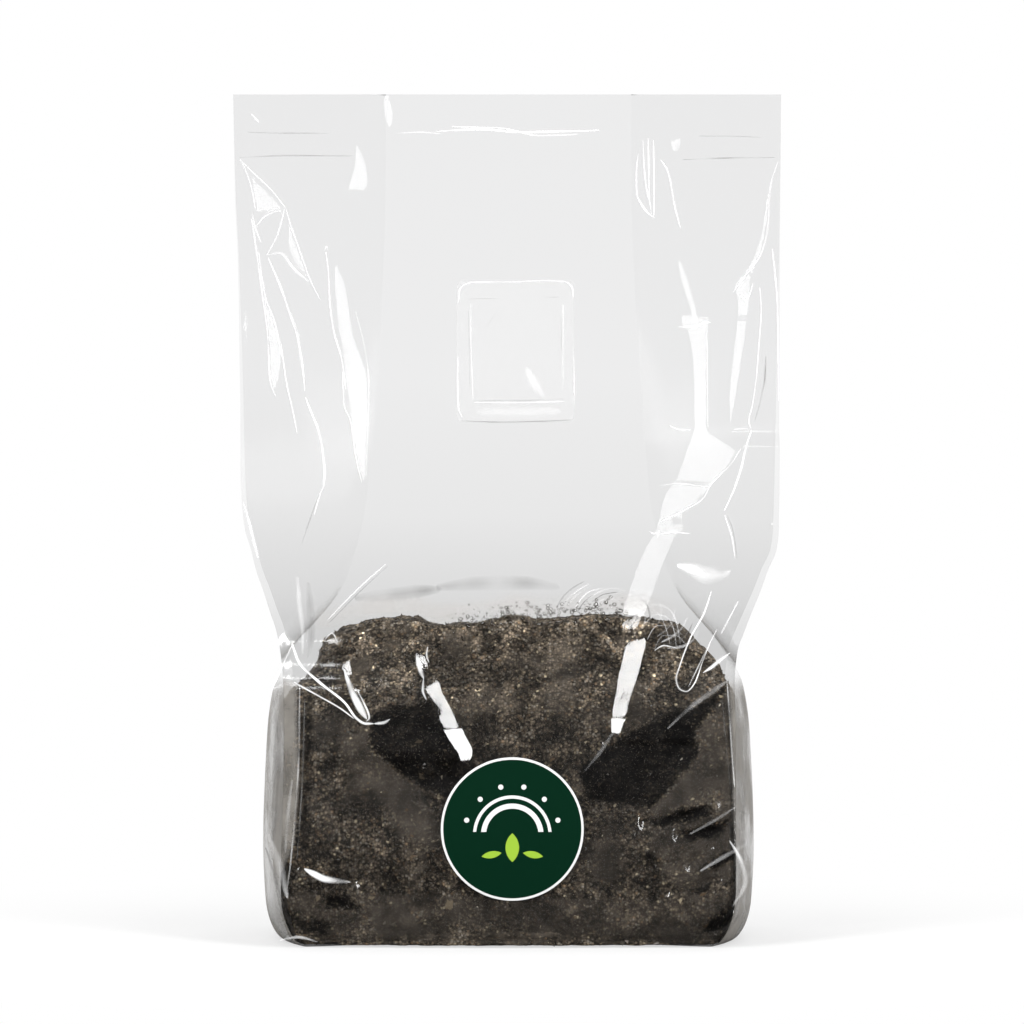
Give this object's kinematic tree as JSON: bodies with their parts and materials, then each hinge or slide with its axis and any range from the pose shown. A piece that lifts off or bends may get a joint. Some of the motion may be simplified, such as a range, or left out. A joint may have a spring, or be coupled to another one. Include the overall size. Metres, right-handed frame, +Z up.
{
  "type": "mushroom grow bag",
  "caption": "Clear gusseted film bag, heat sealed at the head, with a breather patch, a round label and dark moist substrate filling its lower third.",
  "frame": {"origin": "on the table under the middle of the bag", "axes": "+Z up to the sealed head, front with the filter patch and the label towards -Y, +X to the right seen from the front"},
  "size_m": [0.2002, 0.1338, 0.3085],
  "materials": {
    "clear_film": "thin glossy clear film with soft creases",
    "dark_substrate": "moist crumbly dark brown compost with small pale and tan specks",
    "white_membrane": "matt white membrane with a welded border",
    "green_paper": "semi-gloss dark green paper with a white rim"
  },
  "bodies": {
    "root": {"bag": "clear_film", "substrate": "dark_substrate", "filter_patch": "white_membrane", "label": "green_paper"}
  },
  "joints": []
}
